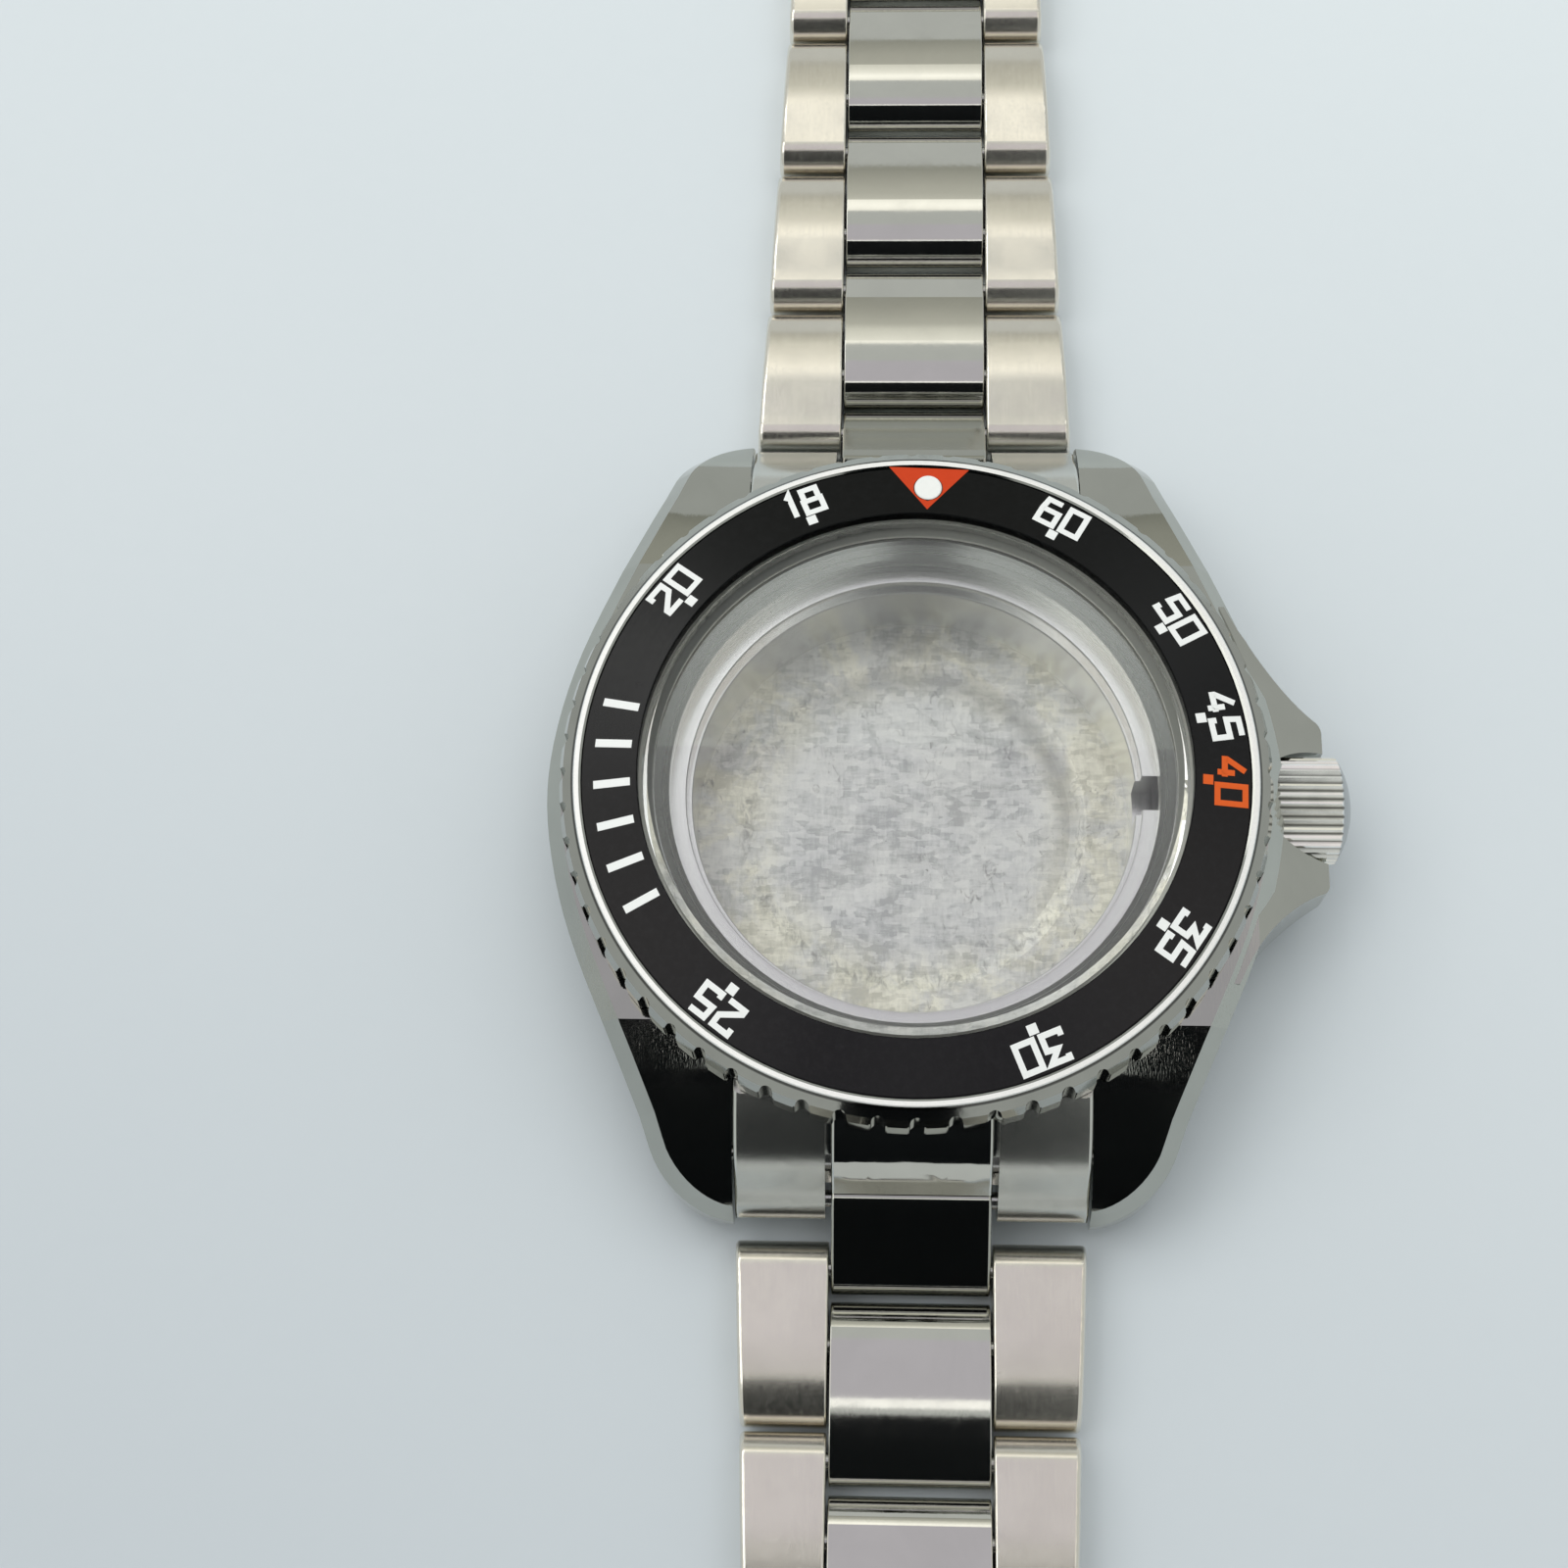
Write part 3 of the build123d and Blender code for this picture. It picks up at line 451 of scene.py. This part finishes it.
def inlay(name, patches, material, lift=0.022):
    """Thin raised print: each patch is (angle, radius, list of 2-D outlines)."""
    bm = bmesh.new()
    for angle, r0, outlines in patches:
        for o in outlines:
            area = sum(p[0] * q[1] - q[0] * p[1] for p, q in zip(o, [*o[1:], o[0]]))
            if area < 0:
                o = list(reversed(o))
            low = [bm.verts.new(on_insert(angle, p[0], p[1], r0, -0.03)) for p in o]
            top = [bm.verts.new(on_insert(angle, p[0], p[1], r0, lift)) for p in o]
            bm.faces.new(top)
            bm.faces.new(list(reversed(low)))
            for i in range(len(o)):
                j = (i + 1) % len(o)
                bm.faces.new([low[i], low[j], top[j], top[i]])
    bmesh.ops.recalc_face_normals(bm, faces=bm.faces)
    me = bpy.data.meshes.new(name)
    bm.to_mesh(me)
    bm.free()
    ob = bpy.data.objects.new(name, me)
    bpy.context.scene.collection.objects.link(ob)
    me.materials.append(material)
    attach(ob, "bezel")
    return ob


DIGIT_W, DIGIT_H, PEN, GAP = 1.40, 1.93, 0.34, 0.18


def number(text, angle):
    widths = [0.78 if c == "1" else DIGIT_W for c in text]
    total = sum(widths) + GAP * (len(text) - 1)
    x = -total / 2
    outlines = []
    for c, w in zip(text, widths):
        for line in GLYPH[c]:
            pts = [(x + PEN / 2 + p[0] * (w - PEN), -DIGIT_H / 2 + PEN / 2 + p[1] * (DIGIT_H - PEN)) for p in line]
            outlines += stroke_quads(pts, PEN)
        x += w + GAP
    return angle, 17.78, outlines


def square(size):
    h = size / 2
    return [(-h, -h), (h, -h), (h, h), (-h, h)]


white = paint("insert_print_white", (0.94, 0.95, 0.94), 0.45, 0.03)
orange = paint("insert_print_orange", (0.66, 0.052, 0.006), 0.42, 0.05, 0.2)
scale = {"60": 28.8, "50": 58.9, "45": 79.4, "35": 123.8, "30": 157.0, "25": 217.2, "20": 307.8, "18": 338.4}
for text, angle in scale.items():
    inlay("insert_number_" + text, [number(text, angle), (angle, 16.46, [square(0.58)])], white)
warm_orange = paint("insert_number_orange", (0.78, 0.115, 0.012), 0.42, 0.05, 0.2)
inlay("insert_number_40", [number("40", 92.3), (92.3, 16.46, [square(0.58)])], warm_orange)
bars = [(a, 17.19, [[(-0.24, -1.06), (0.24, -1.06), (0.24, 1.06), (-0.24, 1.06)]]) for a in (242.0, 250.2, 258.2, 266.2, 274.2, 282.2)]
inlay("insert_graduation_bars", bars, white)


def triangle_outlines():
    """The pointer at the bezel's zero: base on the insert's outer edge, point near its inner edge, open round the pip."""
    apex, base, half = 16.0, 18.9, 2.36
    pip_r, pip_v = 0.86, 17.5
    outlines = []
    steps = 40
    rows = [apex + (base - apex) * k / steps for k in range(steps + 1)]

    def span(r):
        w = half * (r - apex) / (base - apex)
        inner = math.sqrt(max(0.0, pip_r ** 2 - (r - pip_v) ** 2))
        return max(w, 0.012), inner

    for a, b in zip(rows, rows[1:]):
        (wa, ia), (wb, ib) = span(a), span(b)
        for s in (1, -1):
            if wa > ia and wb > ib:
                cuts = 4
                for c in range(cuts):
                    f0, f1 = c / cuts, (c + 1) / cuts
                    outlines.append([(s * (ia + (wa - ia) * f0), a), (s * (ia + (wa - ia) * f1), a),
                                     (s * (ib + (wb - ib) * f1), b), (s * (ib + (wb - ib) * f0), b)])
    return outlines


inlay("insert_pointer_triangle", [(2.4, 0.0, triangle_outlines())], orange, 0.02)

# ---------------------------------------------------------------- surroundings


def plane(name, size, loc, look=None, material=None):
    me = bpy.data.meshes.new(name)
    hx, hy = size[0] / 2, size[1] / 2
    me.from_pydata([(-hx, -hy, 0), (hx, -hy, 0), (hx, hy, 0), (-hx, hy, 0)], [], [(0, 1, 2, 3)])
    ob = bpy.data.objects.new(name, me)
    bpy.context.scene.collection.objects.link(ob)
    ob.location = loc
    if look is not None:
        ob.rotation_euler = (Vector(look) - Vector(loc)).to_track_quat("Z", "Y").to_euler()
    if material:
        me.materials.append(material)
    return ob


floor_net = Net("floor_paper")
fv = floor_net.space()
fd = floor_net.noise(fv, 0.6, 5, 0.6)
fs = floor_net.noise(fv, 0.015, 2, 0.5)
fcol = floor_net.ramp(floor_net.math("ADD", floor_net.math("MULTIPLY", fd, 0.25), floor_net.math("MULTIPLY", fs, 0.75)),
                      [(0.3, (0.80, 0.855, 0.895)), (0.7, (0.825, 0.878, 0.915))])
fsep = floor_net.node("ShaderNodeSeparateXYZ")
floor_net.link(fv, fsep.inputs[0])
# painted light and shade: the floor colour is multiplied by a gradient, darker towards -Y and -X and lighter towards +Y
# and +X
floor_painted_shade = floor_net.node("ShaderNodeMix", data_type="RGBA", blend_type="MULTIPLY")
floor_painted_shade.inputs[0].default_value = 1.0
floor_net.link(fcol, floor_painted_shade.inputs[6])
floor_net.link(floor_net.ramp(floor_net.spread(floor_net.math("ADD", fsep.outputs["Y"], floor_net.math("MULTIPLY", fsep.outputs["X"], 0.35)),
                                               0.0, 1.0, -90.0, 110.0),
                              [(0.15, (0.74, 0.745, 0.76)), (0.50, (0.885, 0.885, 0.89)), (0.85, (0.985, 0.985, 0.98))]), floor_painted_shade.inputs[7])
floor_net.principled(Base_Color=floor_painted_shade.outputs[2], Roughness=0.62, Specular_IOR_Level=0.2, Normal=floor_net.bump(fd, 0.04, 0.05))
plane("floor", (3.0, 3.0), (0, 0, -0.00002), None, floor_net.mat)


def card(name, colour):
    n = Net(name)
    d = n.noise(n.space(), 0.004, 2, 0.5)
    c = n.ramp(d, [(0.3, [k * 0.9 for k in colour]), (0.7, colour)])
    n.principled(Base_Color=c, Roughness=0.9, Specular_IOR_Level=0.0)
    return n.mat


dark = card("studio_dark_card", (0.012, 0.013, 0.014))
plane("dark_card_front", (0.47, 1.55), (-0.025, -0.78, 0.80), (0, 0, 0.0), dark)


def glow(name, colour, strength):
    n = Net(name)
    d = n.noise(n.space(), 0.02, 2, 0.5)
    c = n.ramp(d, [(0.3, [k * 0.92 for k in colour]), (0.7, colour)])
    e = n.node("ShaderNodeEmission")
    n.link(c, e.inputs["Color"])
    e.inputs["Strength"].default_value = strength
    n.link(e.outputs[0], n.out.inputs["Surface"])
    return n.mat


def graded(name, axis, half_mm, stops):
    """Glowing card whose colour runs along one of its sides."""
    n = Net(name)
    sep = n.node("ShaderNodeSeparateXYZ")
    n.link(n.space(), sep.inputs[0])
    wobble = n.math("MULTIPLY", n.math("SUBTRACT", n.noise(n.space(), 0.01, 2, 0.5), 0.5), 0.04)
    along = n.spread(sep.outputs[axis], 0.0, 1.0, -half_mm, half_mm)
    e = n.node("ShaderNodeEmission")
    n.link(n.ramp(n.math("ADD", along, wobble), stops), e.inputs["Color"])
    e.inputs["Strength"].default_value = 2.0
    n.link(e.outputs[0], n.out.inputs["Surface"])
    return n.mat


def half(*c):
    return tuple(k * 0.5 for k in c)


pale = plane("pale_card_above", (1.3, 0.50), (0.0, 0.155, 1.10), None,
             graded("studio_pale_card", "X", 650.0,
                    [(0.0, half(1.05, 0.99, 0.89)), (0.27, half(1.0, 0.95, 0.87)), (0.36, half(0.62, 0.60, 0.655)),
                     (0.64, half(0.62, 0.60, 0.655)), (0.73, half(1.0, 0.95, 0.87)), (1.0, half(1.05, 0.99, 0.89))]))
panel = plane("graded_panel_above", (0.72, 0.72), (0.0, 0.965, 1.10), None,
              graded("studio_graded_panel", "Y", 360.0,
                     [(0.0, half(1.25, 1.23, 1.13)), (0.10, half(1.55, 1.53, 1.42)), (0.24, half(1.05, 1.04, 0.94)),
                      (0.42, half(0.62, 0.62, 0.55)), (1.0, half(0.36, 0.365, 0.32))]))
strip = plane("bright_strip_above", (1.3, 0.055), (0.0, -0.123, 1.10), None,
              glow("studio_bright_strip", (1.0, 0.99, 0.965), 1.5))
left_card = plane("dark_card_lug_left", (0.096, 0.150), (-0.117, -0.130, 0.90), None, dark)
right_card = plane("dark_card_lug_right", (0.096, 0.150), (0.145, -0.130, 0.90), None, dark)
for ob in (pale, strip, panel, left_card, right_card):
    ob.visible_diffuse = False
    ob.visible_shadow = False


def area(name, size, loc, power, colour=(1, 1, 1), look=(0, 0, 0)):
    l = bpy.data.lights.new(name, "AREA")
    l.shape = "RECTANGLE"
    l.size, l.size_y = size
    l.energy = power
    l.color = colour
    ob = bpy.data.objects.new(name, l)
    bpy.context.scene.collection.objects.link(ob)
    ob.location = loc
    ob.rotation_euler = (Vector(loc) - Vector(look)).to_track_quat("Z", "Y").to_euler()
    return ob


area("softbox_key", (1.3, 1.1), (-0.95, 0.25, 1.5), 7.0, (1.0, 0.99, 0.97))
area("softbox_side", (0.22, 0.18), (-0.46, 0.69, 1.10), 0.52, (1.0, 0.99, 0.96))
area("softbox_side_2", (0.20, 0.13), (0.49, 0.74, 1.10), 0.13, (1.0, 0.99, 0.96))
fill = area("softbox_fill", (1.8, 1.3), (0.25, 0.45, 1.6), 7.2, (0.97, 0.99, 1.0))
fill.visible_glossy = False

world = bpy.data.worlds.new("studio_air")
world.use_nodes = True
bg = world.node_tree.nodes["Background"]
bg.inputs["Color"].default_value = (0.60, 0.622, 0.605, 1)
bg.inputs["Strength"].default_value = 1.0
bpy.context.scene.world = world

# ---------------------------------------------------------------- camera
cam = bpy.data.cameras.new("photo_camera")
cam.sensor_fit = "HORIZONTAL"
cam.sensor_width = 36.0
cam.lens = 2441.575 * 36.0 / 1600.0
cam.clip_start = 0.005
cam.clip_end = 10.0
cam_ob = bpy.data.objects.new("photo_camera", cam)
bpy.context.scene.collection.objects.link(cam_ob)
rx, ry, rz = 0.3397917, 0.0363717, 0.0214790
rot = Matrix.Rotation(rz, 3, "Z") @ Matrix.Rotation(ry, 3, "Y") @ Matrix.Rotation(rx, 3, "X")
cam_ob.matrix_world = Matrix.Translation(Vector((-1.7701, -46.0478, 127.6420 + 12.2)) * MM) @ rot.to_4x4()
bpy.context.scene.camera = cam_ob

view = bpy.context.scene.view_settings
view.view_transform = "Standard"
view.look = "None"
view.exposure = 0.0
bpy.context.scene.cycles.use_denoising = True
bpy.context.scene.cycles.max_bounces = 16
bpy.context.scene.cycles.transmission_bounces = 10
bpy.context.scene.cycles.glossy_bounces = 8
